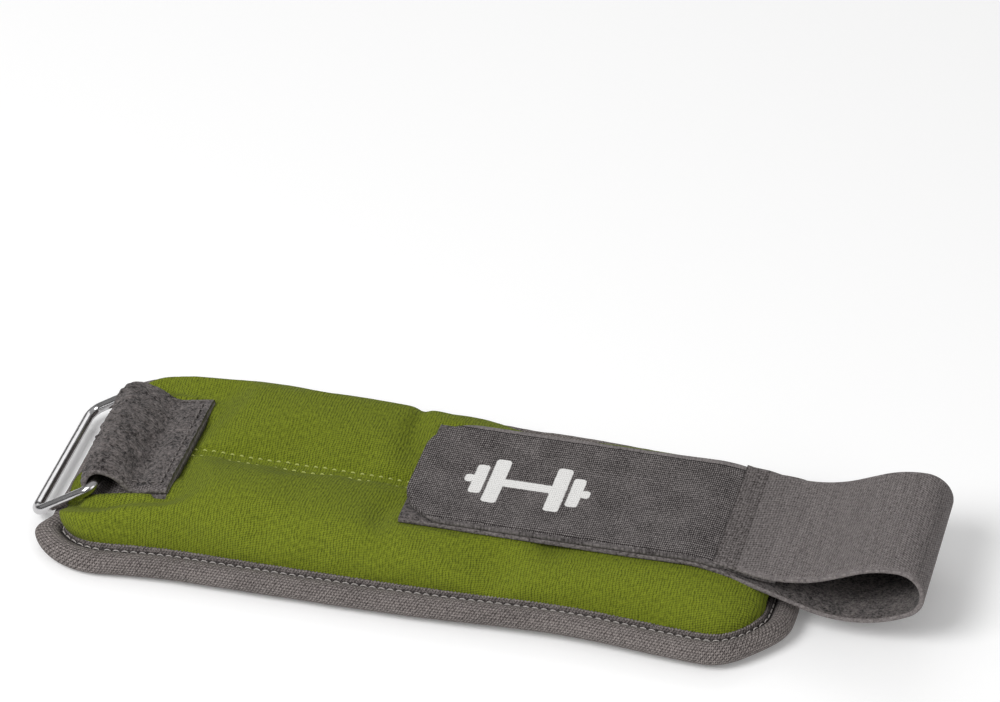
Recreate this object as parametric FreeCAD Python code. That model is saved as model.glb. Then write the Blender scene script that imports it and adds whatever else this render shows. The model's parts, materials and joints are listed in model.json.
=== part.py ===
"""Ankle cuff weight lying open and flat, outer face up, as an assembly of separate solids.

The cuff is a padded neoprene sleeve with two long channels of iron-sand pouches, a bound edge, a metal
ring in a webbing tab at the left end, and a hook-and-loop strap that folds back on itself at the right
end. Nine stiff lengths joined by hinges stand for the flexible cuff, so that it wraps round an ankle.

Millimetres. X runs along the cuff towards the strap, Y across it, Z up. The origin is the centre of the
underside.
"""

import FreeCAD
import Part
import math
import os

# ---- driving dimensions: the cuff ------------------------------------------------------------------
CUFF_LENGTH = 230.0
CUFF_WIDTH = 100.0
CORNER_RADIUS = 24.0
CREST_HEIGHT = 19.0  # top of the filled channels

BINDING_HEIGHT = 7.0
BINDING_WIDTH = 10.0
BINDING_WALL = 2.0  # folded edge of the binding, outside the panels
BINDING_LIP = 1.8  # thickness of the lips above and below the panels
PANEL_THICKNESS = 3.5
DOME_WALL = 2.5  # front panel where it is stretched over the fill

CHANNEL_Y = 21.0  # centre line of each filled channel
CHANNEL_HALF_WIDTH = 19.0
CHANNEL_HALF_LENGTH = 72.0  # of its even part
CHANNEL_TAPER = 34.0  # length of the rounded taper beyond the even part
SEAM_HEIGHT = 13.5  # gathered panels along the centre seam
SEAM_WIDTH = 6.0

# ---- driving dimensions: how the cuff bends ---------------------------------------------------------
BEND_PITCH = 22.0  # between neighbouring bend lines
BENDS_PER_SIDE = 4
BEND_HEIGHT = 8.0  # height of each bend line above the underside
BEND_ANGLE = 33.0  # most that one bend line turns
BEND_MARGIN = 0.4  # extra relief, in degrees, under each bend line

# ---- driving dimensions: strap, tab and ring ---------------------------------------------------------
STRAP_WIDTH = 50.0
STRAP_THICKNESS = 1.5
STRAP_START_X = -4.5  # sewn end of the loop strap
TIP_X = -7.5  # free end of the hook tape
TIP_RADIUS = 15.0
LAP_LENGTH = 18.4  # hook tape under the webbing
LAP_TILT = 14.0  # the returning strap dips past the cuff's end

FOLD_RADIUS = 7.8  # tight turn of the strap
FOLD_X = 142.4
FOLD_Z = 19.9
FOLD_ENTRY_ANGLE = 30.0  # strap's heading where the tight turn begins
FOLD_STEP = 45.0  # turn shared out to each of the four fold hinges

TAB_END_X = -76.5
TAB_END_Z = 15.2  # middle of its lower layer there, pressed into the channels
TAB_LENGTH = 19.0  # sewn part of its lower layer
TAB_SLOPE = 10.0  # it lies down towards the end of the cuff
TAB_LOOP_RADIUS = 5.0
BED_RAMP = 35.0  # how the channels rise again past the tab's end

RING_WIRE_RADIUS = 1.6
RING_WIDTH = 54.8  # between the centre lines of the ring's two arms
RING_DEPTH = 22.5  # between the centre lines of its two long bars
RING_CORNER_RADIUS = 4.0
RING_DROOP = 27.0  # how far the resting ring hangs below level, just clear of the binding

CLEARANCE = 0.05
SKY = 60.0  # above everything
OUT = "parts"

# ---- worked out from the above ------------------------------------------------------------------------
SEAT_Z = BINDING_HEIGHT - BINDING_LIP  # top of the panels' edges inside the binding
RISE = CREST_HEIGHT - SEAT_Z
DOME_RADIUS = (CHANNEL_HALF_WIDTH**2 + RISE**2) / (2 * RISE)
DOME_Z = CREST_HEIGHT - DOME_RADIUS
STRAP_Z = CREST_HEIGHT + CLEARANCE + STRAP_THICKNESS / 2
HOOK_Z = STRAP_Z + STRAP_THICKNESS + 4 * CLEARANCE
FIRST_BEND_X = BEND_PITCH / 2

X_AXIS = FreeCAD.Vector(1, 0, 0)
Y_AXIS = FreeCAD.Vector(0, 1, 0)
Z_AXIS = FreeCAD.Vector(0, 0, 1)


# ---- segments -------------------------------------------------------------------------------------------
def segment_limits():
    """{name: (low x, high x)} of every stiff length, from the left end to the right end."""
    bends = [FIRST_BEND_X + i * BEND_PITCH for i in range(BENDS_PER_SIDE)]
    edges = bends + [CUFF_LENGTH / 2]
    limits = {"centre": (-FIRST_BEND_X, FIRST_BEND_X)}
    for i in range(BENDS_PER_SIDE):
        limits[f"right_{i + 1}"] = (edges[i], edges[i + 1])
        limits[f"left_{i + 1}"] = (-edges[i + 1], -edges[i])
    return limits


def segment_block(low_x, high_x, gap=CLEARANCE):
    """Everything between two bend lines. Below each line its side slopes away, to leave room to bend."""
    end_x = CUFF_LENGTH / 2
    slope = math.tan(math.radians(BEND_ANGLE / 2 + BEND_MARGIN))
    below = BEND_HEIGHT + 1.0
    points = []
    for x, inward, is_end in ((low_x, 1, low_x <= -end_x), (high_x, -1, high_x >= end_x)):
        if is_end:
            side = [(x - inward, -1.0), (x - inward, SKY)]
        else:
            side = [
                (x + inward * (gap + below * slope), -1.0),
                (x + inward * gap, BEND_HEIGHT),
                (x + inward * gap, SKY),
            ]
        points += side if inward > 0 else side[::-1]
    corners = [FreeCAD.Vector(x, -CUFF_WIDTH, z) for x, z in points]
    face = Part.Face(Part.makePolygon(corners + corners[:1]))
    return face.extrude(Y_AXIS * (2 * CUFF_WIDTH))


# ---- plates, domes and the binding ------------------------------------------------------------------------
def rounded_plate(inset, low_z, high_z):
    """A plate with the cuff's outline, drawn in from its edge by inset."""
    length, width = CUFF_LENGTH - 2 * inset, CUFF_WIDTH - 2 * inset
    corner = FreeCAD.Vector(-length / 2, -width / 2, low_z)
    block = Part.makeBox(length, width, high_z - low_z, corner)
    uprights = [e for e in block.Edges if abs(e.tangentAt(e.FirstParameter).z) > 0.99]
    return block.makeFillet(CORNER_RADIUS - inset, uprights)


def tab_bed(wall):
    """Space above the channels where the ring tab presses them down, grown by wall."""
    slope = math.tan(math.radians(TAB_SLOPE))
    under = STRAP_THICKNESS / 2 / math.cos(math.radians(TAB_SLOPE)) + CLEARANCE
    near_x, far_x = TAB_END_X + 0.3 + wall / 2, -CUFF_LENGTH / 2
    near_z = TAB_END_Z - under - wall
    far_z = near_z + slope * (far_x - near_x)
    top_x = near_x + (SKY - near_z) / math.tan(math.radians(BED_RAMP))
    corners = [(far_x, far_z), (near_x, near_z), (top_x, SKY), (far_x, SKY)]
    half = STRAP_WIDTH / 2 + 0.3 + wall
    points = [FreeCAD.Vector(x, -half, z) for x, z in corners + corners[:1]]
    return Part.Face(Part.makePolygon(points)).extrude(Y_AXIS * (2 * half))


def domes(wall, floor_z):
    """The two filled channels, drawn in by wall: half-round bars with tapered ends, above floor_z."""
    radius, taper, half = DOME_RADIUS - wall, CHANNEL_TAPER - wall, CHANNEL_HALF_LENGTH
    above = Part.makeBox(2 * CUFF_LENGTH, 2 * CUFF_WIDTH, SKY, FreeCAD.Vector(-CUFF_LENGTH, -CUFF_WIDTH, floor_z))
    shapes = []
    for y in (-CHANNEL_Y, CHANNEL_Y):
        edges = []
        for side in (-1, 1):
            centre = FreeCAD.Vector(side * half, y, DOME_Z)
            ellipse = Part.Ellipse(centre + X_AXIS * (side * taper), centre + Z_AXIS * radius, centre)
            edges.append(Part.ArcOfEllipse(ellipse, 0, math.pi / 2).toShape())
        top = FreeCAD.Vector(0, y, DOME_Z + radius)
        axis = FreeCAD.Vector(0, y, DOME_Z)
        edges.append(Part.makeLine(top - X_AXIS * half, top + X_AXIS * half))
        edges.append(Part.makeLine(axis - X_AXIS * (half + taper), axis + X_AXIS * (half + taper)))
        outline = Part.Face(Part.Wire(Part.__sortEdges__(edges)))
        shapes.append(outline.revolve(axis, X_AXIS, 360).common(above).cut(tab_bed(wall)))
    return shapes


def front_cover():
    """Outer neoprene panel: flat round the edge, domed over the channels and gathered along the seam."""
    edge = rounded_plate(BINDING_WALL + CLEARANCE, PANEL_THICKNESS, SEAT_Z)
    middle = rounded_plate(BINDING_WIDTH + 2 * CLEARANCE, PANEL_THICKNESS, BINDING_HEIGHT)
    corner = FreeCAD.Vector(-CHANNEL_HALF_LENGTH, -SEAM_WIDTH / 2, PANEL_THICKNESS)
    seam = Part.makeBox(2 * CHANNEL_HALF_LENGTH, SEAM_WIDTH, SEAM_HEIGHT - PANEL_THICKNESS, corner)
    solid = edge.multiFuse([middle, seam] + domes(0, PANEL_THICKNESS))
    for hollow in domes(DOME_WALL, PANEL_THICKNESS - 1):
        solid = solid.cut(hollow)
    return solid


def back_cover():
    """Inner neoprene panel, flat on the leg side."""
    edge = rounded_plate(BINDING_WALL + CLEARANCE, BINDING_LIP, PANEL_THICKNESS)
    middle = rounded_plate(BINDING_WIDTH + 2 * CLEARANCE, 0, PANEL_THICKNESS)
    return edge.fuse(middle).removeSplitter()


def binding():
    """Folded binding round the whole edge, with a slot that grips both panels."""
    outer = rounded_plate(0, 0, BINDING_HEIGHT)
    rims = [e for e in outer.Edges if abs(e.BoundBox.ZLength) < 1e-6]
    outer = outer.makeFillet(BINDING_HEIGHT / 2 - CLEARANCE, rims)
    hole = rounded_plate(BINDING_WIDTH, -1, BINDING_HEIGHT + 1)
    slot = rounded_plate(BINDING_WALL, BINDING_LIP, SEAT_Z)
    return outer.cut(hole).cut(slot)


def pouches():
    """Both rows of iron-sand pouches as two long bars, before they are cut into lengths."""
    return domes(DOME_WALL + 0.3, PANEL_THICKNESS + 2 * CLEARANCE)


# ---- ribbons: webbing followed along a path of lines and arcs ------------------------------------------------
def walk(start, heading, moves):
    """Follows moves from start (x, z). A move is ("line", length) or ("arc", radius, turn in degrees).

    Returns the pieces and the end point and heading. Positive turns are anticlockwise seen from -Y.
    """
    x, z = start
    pieces = []
    for move in moves:
        a = math.radians(heading)
        if move[0] == "line":
            pieces.append(("line", (x, z), heading, move[1]))
            x += move[1] * math.cos(a)
            z += move[1] * math.sin(a)
            continue
        radius, turn = move[1], move[2]
        side = 1 if turn > 0 else -1
        centre = (x - side * radius * math.sin(a), z + side * radius * math.cos(a))
        pieces.append(("arc", centre, heading, radius, turn))
        heading += turn
        b = math.radians(heading)
        x = centre[0] + side * radius * math.sin(b)
        z = centre[1] - side * radius * math.cos(b)
    return pieces, (x, z), heading


def offset_edge(piece, offset):
    """(edge, first point, last point) of one piece of a path, moved sideways by offset to its left."""
    if piece[0] == "line":
        _, (x, z), heading, length = piece
        a = math.radians(heading)
        first = FreeCAD.Vector(x - offset * math.sin(a), 0, z + offset * math.cos(a))
        last = first + FreeCAD.Vector(math.cos(a), 0, math.sin(a)) * length
        return Part.makeLine(first, last), first, last
    _, (cx, cz), heading, radius, turn = piece
    side = 1 if turn > 0 else -1
    reach = radius - side * offset

    def point(share):
        a = math.radians(heading + share * turn)
        return FreeCAD.Vector(cx + side * reach * math.sin(a), 0, cz - side * reach * math.cos(a))

    first, middle, last = point(0), point(0.5), point(1)
    return Part.Arc(first, middle, last).toShape(), first, last


def ribbon(pieces, low=-STRAP_THICKNESS / 2, high=STRAP_THICKNESS / 2, width=STRAP_WIDTH):
    """A strip of webbing along a path, between two sideways offsets, centred on Y = 0."""
    upper = [offset_edge(p, high) for p in pieces]
    lower = [offset_edge(p, low) for p in pieces]
    edges = [e for e, _, _ in upper] + [Part.makeLine(upper[-1][2], lower[-1][2])]
    edges += [e for e, _, _ in reversed(lower)] + [Part.makeLine(lower[0][1], upper[0][1])]
    face = Part.Face(Part.Wire(Part.__sortEdges__(edges)))
    face.translate(FreeCAD.Vector(0, -width / 2, 0))
    return face.extrude(Y_AXIS * width)


def slab(low_x, high_x, z):
    """A flat length of strap centred on height z."""
    corner = FreeCAD.Vector(low_x, -STRAP_WIDTH / 2, z - STRAP_THICKNESS / 2)
    return Part.makeBox(high_x - low_x, STRAP_WIDTH, STRAP_THICKNESS, corner)


# ---- the strap ---------------------------------------------------------------------------------------------
def lower_strap_moves(first_x):
    """From the last bend line, off the end of the cuff and round to the first fold hinge."""
    slope, entry = 18.0, FOLD_ENTRY_ANGLE
    a, b = math.radians(slope), math.radians(entry)
    drop_radius, lift_radius = 40.0, 37.0
    goal_x = FOLD_X + FOLD_RADIUS * math.sin(b)
    goal_z = FOLD_Z - FOLD_RADIUS * math.cos(b)
    fall = STRAP_Z - goal_z - drop_radius * (1 - math.cos(a)) + lift_radius * (math.cos(a) - math.cos(b))
    length = fall / math.sin(a)
    run = drop_radius * math.sin(a) + length * math.cos(a) + lift_radius * (math.sin(a) + math.sin(b))
    return [
        ("line", goal_x - run - first_x),
        ("arc", drop_radius, -slope),
        ("line", length),
        ("arc", lift_radius, slope + FOLD_STEP / 2),
    ], lift_radius


def lap_path(last_x):
    """The hook tape's path on the strap, from under the webbing to the last bend line."""
    radius, tilt, length, level = 40.0, LAP_TILT, 8.0, 3.0
    moves = [("arc", radius, -tilt), ("line", length), ("arc", radius, tilt), ("line", level)]
    run = 2 * radius * math.sin(math.radians(tilt)) + length * math.cos(math.radians(tilt)) + level
    drop = 2 * radius * (1 - math.cos(math.radians(tilt))) + length * math.sin(math.radians(tilt))
    start = (last_x + run, HOOK_Z - drop)
    return walk(start, 180.0, moves)[0], start, radius, tilt


def upper_strap_moves(lap_start, lap_radius, lap_tilt):
    """From the last fold hinge over the top and down to where the webbing ends on the hook tape."""
    slope, over_radius, under_radius = 24.0, 30.0, 40.0
    a = math.radians(slope)
    top_z = FOLD_Z + FOLD_RADIUS
    step = STRAP_THICKNESS + CLEARANCE
    low_z = lap_start[1] + step
    length = (top_z - low_z - (over_radius + under_radius) * (1 - math.cos(a))) / math.sin(a)
    run = (over_radius + under_radius) * math.sin(a) + length * math.cos(a)
    rest = lap_radius - step
    return [
        ("arc", FOLD_RADIUS, FOLD_STEP / 2),
        ("line", FOLD_X - lap_start[0] - run),
        ("arc", over_radius, slope),
        ("line", length),
        ("arc", under_radius, -slope),
        ("arc", rest, -lap_tilt),
        ("line", LAP_LENGTH - rest * math.sin(math.radians(lap_tilt))),
    ]


def loop_strap(limits):
    """The sewn loop strap, one length for each stiff length of the cuff under it, and its free end."""
    parts = {}
    for name in ("centre", "right_1", "right_2", "right_3"):
        low_x, high_x = limits[name]
        parts[name] = slab(max(low_x, STRAP_START_X) + CLEARANCE, high_x - CLEARANCE, STRAP_Z)
    first_x = limits["right_4"][0] + CLEARANCE
    moves, lift_radius = lower_strap_moves(first_x)
    pieces, point, heading = walk((first_x, STRAP_Z), 0.0, moves)
    parts["right_4"] = ribbon(pieces)
    return parts, point, heading, lift_radius


def fold_strap(point, heading, lift_radius, lap_start, lap_radius, lap_tilt):
    """The turn of the strap: three short links between the four fold hinges, then the returning webbing."""
    links = [
        [("arc", lift_radius, FOLD_ENTRY_ANGLE - heading), ("arc", FOLD_RADIUS, 1.5 * FOLD_STEP - FOLD_ENTRY_ANGLE)],
        [("arc", FOLD_RADIUS, FOLD_STEP)],
        [("arc", FOLD_RADIUS, FOLD_STEP)],
    ]
    parts, hinges = [], [outer_point(point, heading)]
    for moves in links:
        pieces, point, heading = walk(point, heading, moves)
        parts.append(ribbon(pieces))
        hinges.append(outer_point(point, heading))
    pieces, _, _ = walk(point, heading, upper_strap_moves(lap_start, lap_radius, lap_tilt))
    parts.append(ribbon(pieces))
    return parts, hinges


def outer_point(point, heading):
    """The point of the strap's outer face beside a path point: a fold hinge's axis."""
    a = math.radians(heading)
    reach = STRAP_THICKNESS / 2
    return (point[0] + reach * math.sin(a), point[1] - reach * math.cos(a))


def hook_tip(high_x):
    """The free end of the hook tape, with two rounded corners."""
    tape = slab(TIP_X, high_x, HOOK_Z)
    corners = [
        e
        for e in tape.Edges
        if abs(e.tangentAt(e.FirstParameter).z) > 0.99 and abs(e.CenterOfMass.x - TIP_X) < 1e-6
    ]
    return tape.makeFillet(TIP_RADIUS, corners)


def hook_tape(limits, lap_pieces):
    """Hook tape lying on the loop strap, one length for each stiff length of the cuff under it."""
    parts = {"hook_tape_lap": ribbon(lap_pieces)}
    for name in ("right_1", "right_2", "right_3"):
        low_x, high_x = limits[name]
        parts[f"hook_tape_{name}"] = slab(low_x + CLEARANCE, high_x - CLEARANCE, HOOK_Z)
    parts["hook_tape_tip"] = hook_tip(limits["centre"][1] - CLEARANCE)
    return parts


# ---- the tab and the ring ----------------------------------------------------------------------------------
def tab_shape():
    """Webbing tab: up from the cuff, round the ring's bar and back down on itself. Also the loop's centre."""
    slope, dip, tight = TAB_SLOPE, 28.0, 6.0
    a, b = math.radians(slope), math.radians(dip)
    start = (TAB_END_X, TAB_END_Z)
    lower = [("line", TAB_LENGTH), ("arc", 12.0, -slope), ("arc", TAB_LOOP_RADIUS, -180.0), ("arc", 8.0, -dip)]
    pieces, (x, z), heading = walk(start, 180.0 + slope, lower)
    centre = pieces[2][1]
    # The returning layer drops at the dip angle until it can turn up onto the layer below.
    layer = (STRAP_THICKNESS + 3 * CLEARANCE) / math.cos(a)
    turn_x = tight * (math.sin(a) + math.sin(b))
    turn_z = tight * (math.cos(b) - math.cos(a))
    goal = start[1] + layer + math.tan(a) * (x + turn_x - start[0])
    length = (z + turn_z - goal) / (math.sin(b) + math.tan(a) * math.cos(b))
    reached = x + length * math.cos(b) + turn_x
    upper = [("line", length), ("arc", tight, dip + slope), ("line", (start[0] - reached) / math.cos(a))]
    more, _, _ = walk((x, z), heading, upper)
    return ribbon(pieces + more), centre


def ring_shape(bar):
    """Rectangular ring of round wire, with its inner bar at bar (x, z), hanging at its resting angle."""
    half, depth, r = RING_WIDTH / 2, RING_DEPTH, RING_CORNER_RADIUS
    droop = math.radians(RING_DROOP)

    def place(y, reach):
        return FreeCAD.Vector(bar[0] - reach * math.cos(droop), y, bar[1] - reach * math.sin(droop))

    near = r * (1 - math.sqrt(0.5))
    edges = []
    for side, first, last in ((1, 0, 1), (1, 1, 0), (-1, 1, 0), (-1, 0, 1)):
        reach = depth * first
        inward = 1 if first == 0 else -1
        a = place(side * (half - r), reach)
        m = place(side * (half - near), reach + inward * near)
        b = place(side * half, reach + inward * r)
        edges.append(Part.Arc(a, m, b).toShape())
        if last == 1:
            edges.append(Part.makeLine(b, place(side * half, depth - r)))
    for reach in (0, depth):
        edges.append(Part.makeLine(place(-half + r, reach), place(half - r, reach)))
    path = Part.Wire(Part.__sortEdges__(edges))
    start = path.Edges[0].valueAt(path.Edges[0].FirstParameter)
    tangent = path.Edges[0].tangentAt(path.Edges[0].FirstParameter)
    profile = Part.Wire(Part.makeCircle(RING_WIRE_RADIUS, start, tangent))
    sweep = Part.BRepOffsetAPI.MakePipeShell(path)
    sweep.add(profile)
    sweep.setTransitionMode(1)
    sweep.build()
    sweep.makeSolid()
    return sweep.shape()


# ---- assembly ------------------------------------------------------------------------------------------------
def build():
    """{node name: shape} for the whole cuff, and the axes that its hinges turn about."""
    limits = segment_limits()
    nodes = {}
    layers = {
        "front_panel": [front_cover()],
        "back_panel": [back_cover()],
        "edge_binding": [binding()],
    }
    fill = pouches()
    for name, (low_x, high_x) in limits.items():
        block = segment_block(low_x, high_x)
        for label, shapes in layers.items():
            nodes[f"{label}_{name}"] = shapes[0].common(block)
        seal = segment_block(low_x, high_x, gap=0.8)
        nodes[f"sand_pouches_{name}"] = Part.makeCompound([bar.common(seal) for bar in fill])

    strap, point, heading, lift_radius = loop_strap(limits)
    for name, shape in strap.items():
        nodes[f"loop_strap_{name}"] = shape
    lap_pieces, lap_start, lap_radius, lap_tilt = lap_path(limits["right_4"][0] + CLEARANCE)
    fold, hinges = fold_strap(point, heading, lift_radius, lap_start, lap_radius, lap_tilt)
    for number, shape in enumerate(fold[:-1], 1):
        nodes[f"strap_fold_{number}"] = shape
    nodes["strap_return"] = fold[-1]
    nodes.update(hook_tape(limits, lap_pieces))

    nodes["ring_tab"], loop_centre = tab_shape()
    bar = (loop_centre[0] - 1.4, loop_centre[1] - 0.6)
    nodes["tab_ring"] = ring_shape(bar)
    return nodes, {"ring": bar, "folds": hinges}


def main():
    os.makedirs(OUT, exist_ok=True)
    for old in os.listdir(OUT):
        if old.endswith(".step"):
            os.remove(os.path.join(OUT, old))
    nodes, axes = build()
    for name, shape in sorted(nodes.items()):
        solids = shape.Solids
        assert solids and all(s.isValid() and s.Volume > 0 for s in solids), f"{name} is not a closed solid"
        whole = solids[0] if len(solids) == 1 else Part.makeCompound(solids)
        whole.exportStep(os.path.join(OUT, f"{name}.step"))
    print(len(nodes), "nodes; hinge axes (x, z) in mm:")
    print("  ring", [round(v, 4) for v in axes["ring"]])
    for number, hinge in enumerate(axes["folds"], 1):
        print("  fold", number, [round(v, 4) for v in hinge])


main()
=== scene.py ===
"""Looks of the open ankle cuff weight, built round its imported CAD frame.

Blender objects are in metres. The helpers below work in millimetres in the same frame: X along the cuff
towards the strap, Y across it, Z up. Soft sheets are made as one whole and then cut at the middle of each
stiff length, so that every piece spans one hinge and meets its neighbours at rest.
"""

import json
import math

import bmesh
import bpy
import numpy as np
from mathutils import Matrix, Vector, noise


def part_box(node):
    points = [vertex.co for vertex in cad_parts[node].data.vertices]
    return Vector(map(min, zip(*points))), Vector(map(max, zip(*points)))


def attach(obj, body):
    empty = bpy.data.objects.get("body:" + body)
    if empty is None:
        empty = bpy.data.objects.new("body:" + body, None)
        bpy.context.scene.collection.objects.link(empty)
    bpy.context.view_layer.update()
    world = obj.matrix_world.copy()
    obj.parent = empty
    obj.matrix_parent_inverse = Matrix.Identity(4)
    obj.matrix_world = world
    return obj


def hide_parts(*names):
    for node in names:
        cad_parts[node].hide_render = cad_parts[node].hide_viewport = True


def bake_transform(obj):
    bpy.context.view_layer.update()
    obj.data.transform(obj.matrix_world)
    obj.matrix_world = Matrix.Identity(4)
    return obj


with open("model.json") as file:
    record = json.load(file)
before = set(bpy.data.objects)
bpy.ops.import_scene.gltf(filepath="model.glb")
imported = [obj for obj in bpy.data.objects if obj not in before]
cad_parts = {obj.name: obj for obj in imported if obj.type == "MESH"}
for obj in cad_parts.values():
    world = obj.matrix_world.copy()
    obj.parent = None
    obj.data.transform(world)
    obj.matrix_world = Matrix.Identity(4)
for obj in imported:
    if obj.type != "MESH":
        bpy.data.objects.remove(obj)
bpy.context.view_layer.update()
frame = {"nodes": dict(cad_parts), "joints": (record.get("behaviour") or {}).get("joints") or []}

MM = 0.001
UV = "cloth"


def box_mm(node):
    low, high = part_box(node)
    return np.array(low) / MM, np.array(high) / MM


# ---- sizes read from the frame
HALF_LENGTH = box_mm("edge_binding_right_4")[1][0]
HALF_WIDTH = box_mm("edge_binding_right_4")[1][1]
BINDING_HEIGHT = box_mm("edge_binding_centre")[1][2]
CREST = box_mm("front_panel_centre")[1][2]
STRAP_LOW, STRAP_HIGH = box_mm("loop_strap_centre")
STRAP_START = STRAP_LOW[0]
STRAP_HALF = STRAP_HIGH[1]
STRAP_THICKNESS = STRAP_HIGH[2] - STRAP_LOW[2]
STRAP_Z = (STRAP_LOW[2] + STRAP_HIGH[2]) / 2
TIP_LOW, TIP_HIGH = box_mm("hook_tape_tip")
TIP_X = TIP_LOW[0]
HOOK_Z = (TIP_LOW[2] + TIP_HIGH[2]) / 2
WEBBING_END = box_mm("strap_return")[0][0]
TAB_END = box_mm("ring_tab")[1][0]
JOINTS = {joint["name"]: joint for joint in frame["joints"]}
BENDS = sorted(j["pos_m"][0] / MM for n, j in JOINTS.items() if n.startswith("wrap") and j["pos_m"][0] > 0)
RING_X, _, RING_Z = [v / MM for v in JOINTS["ring_swing"]["pos_m"]]

# ---- sizes of the looks
CORNER_RADIUS = 24.0
CHANNEL_Y = 21.0
FILL_TAPER = 34.0
GREEN_INSET = 8.8  # edge of the covers, under the binding's lips
STITCH_INSET = 7.3  # binding's stitch line
EDGE_Z = 5.0  # outer cover where it goes under the binding
SEAM_Z = 14.6  # centre seam
SEAM_HALF = 1.9
EVEN_HALF = 72.0  # half length over which the filled channels keep their height
TAPER = 35.2
TIP_RADIUS = 15.0
PILE_START = STRAP_START - 0.8  # the sewn run's frayed end
TAPE_TIP = TIP_X + 1.4
FOLD_RADIUS = 7.8
FOLD_X, FOLD_Z = 142.4, 19.9
FOLD_ENTRY = 30.0
FOLD_STEP = 45.0
LAP_TILT, LAP_RADIUS = 14.0, 40.0
LAP_LENGTH = 18.4
TAB_SLOPE = 10.0
TAB_LENGTH = 19.0
TAB_LOOP = 5.0
RING_SLACK = 6.0  # degrees that the ring hangs past the frame's, where the soft end gives way
CREASE_V = 5.9  # distance round the binding from its top lip to the stitch line
STITCH_PITCH = 2.7


# ---- small helpers
def wobble(points, scale, shift=0.0):
    """Smooth noise between about -1 and 1 at each point, with features about 1/scale mm across."""
    offset = Vector((shift, shift * 0.7, shift * 1.3))
    return np.array([noise.noise(Vector(p) * scale + offset) for p in points])


def ease(value, low, high):
    """0 below low, 1 above high, smooth between."""
    t = np.clip((np.asarray(value, float) - low) / (high - low), 0, 1)
    return t * t * (3 - 2 * t)


def bell(value, middle, width):
    """1 at middle, and nearly 0 from two widths away."""
    return np.exp(-(((value - middle) / width) ** 2))


class Sheet:
    """A mesh in the making: vertices (mm), faces, a UV in mm for each vertex and a material for each face."""

    def __init__(self, verts, faces, uvs, kinds=None):
        self.verts = np.asarray(verts, float)
        self.faces = np.asarray(faces, int)
        self.uvs = np.asarray(uvs, float)
        self.kinds = np.zeros(len(self.faces), int) if kinds is None else np.asarray(kinds, int)

    def plus(self, other):
        faces = np.vstack([self.faces, other.faces + len(self.verts)])
        verts = np.vstack([self.verts, other.verts])
        kinds = np.concatenate([self.kinds, other.kinds])
        return Sheet(verts, faces, np.vstack([self.uvs, other.uvs]), kinds)

    def part(self, keep):
        """The faces marked in keep, with only the vertices that they use."""
        faces = self.faces[keep]
        used = np.unique(faces)
        place = np.zeros(len(self.verts), int)
        place[used] = np.arange(len(used))
        return Sheet(self.verts[used], place[faces], self.uvs[used], self.kinds[keep])

    def make(self, name, materials):
        mesh = bpy.data.meshes.new(name)
        faces = [[v for i, v in enumerate(f) if v not in f[:i]] for f in self.faces.tolist()]
        mesh.from_pydata((self.verts * MM).tolist(), [], faces)
        for material in materials:
            mesh.materials.append(material)
        mesh.polygons.foreach_set("material_index", self.kinds.astype(np.int32))
        mesh.polygons.foreach_set("use_smooth", np.ones(len(faces), bool))
        corner = np.zeros(len(mesh.loops), np.int32)
        mesh.loops.foreach_get("vertex_index", corner)
        layer = mesh.uv_layers.new(name=UV)
        layer.data.foreach_set("uv", self.uvs[corner].astype(np.float32).ravel())
        mesh.update()
        obj = bpy.data.objects.new(name, mesh)
        bpy.context.scene.collection.objects.link(obj)
        return obj


def grid_faces(rows, columns, closed=False):
    """Quads of a grid whose vertices run row by row. closed joins each row's last column to its first."""
    r, c = np.meshgrid(np.arange(rows - 1), np.arange(columns if closed else columns - 1), indexing="ij")
    n = (c + 1) % columns
    quads = np.stack([r * columns + c, (r + 1) * columns + c, (r + 1) * columns + n, r * columns + n], -1)
    return quads.reshape(-1, 4)


def grid_sheet(verts, uvs, kind=0, flip=False):
    """Sheet from arrays shaped (rows, columns, 3) and (rows, columns, 2)."""
    rows, columns = verts.shape[:2]
    faces = grid_faces(rows, columns)
    if flip:
        faces = faces[:, ::-1]
    return Sheet(verts.reshape(-1, 3), faces, uvs.reshape(-1, 2), np.full(len(faces), kind))


# ---- hanging pieces on the frame
def bend_zones():
    """(x nearest the centre, far x, near body, far body) of every stretch that bends about one hinge."""
    zones = []
    for side, name in ((1, "right"), (-1, "left")):
        near, body = 0.0, "centre"
        for number, bend in enumerate(BENDS, 1):
            far, next_body = 2 * bend - near, f"{name}_{number}"
            zones.append((side * near, side * far, body, next_body))
            near, body = far, next_body
        zones.append((side * near, side * 1000.0, body, None))
    return zones


ZONES = bend_zones()
ZONE_ENDS = sorted({abs(z[0]) for z in ZONES})
LAST_CUT = ZONE_ENDS[-1]


def cut(obj, x, keep_above):
    """Cuts obj's mesh at x (mm) and keeps the side above or below it."""
    mesh = bmesh.new()
    mesh.from_mesh(obj.data)
    everything = mesh.verts[:] + mesh.edges[:] + mesh.faces[:]
    plane = {"plane_co": (x * MM, 0, 0), "plane_no": (1, 0, 0), "dist": 1e-7}
    bmesh.ops.bisect_plane(mesh, geom=everything, clear_inner=keep_above, clear_outer=not keep_above, **plane)
    mesh.to_mesh(obj.data)
    mesh.free()


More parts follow.
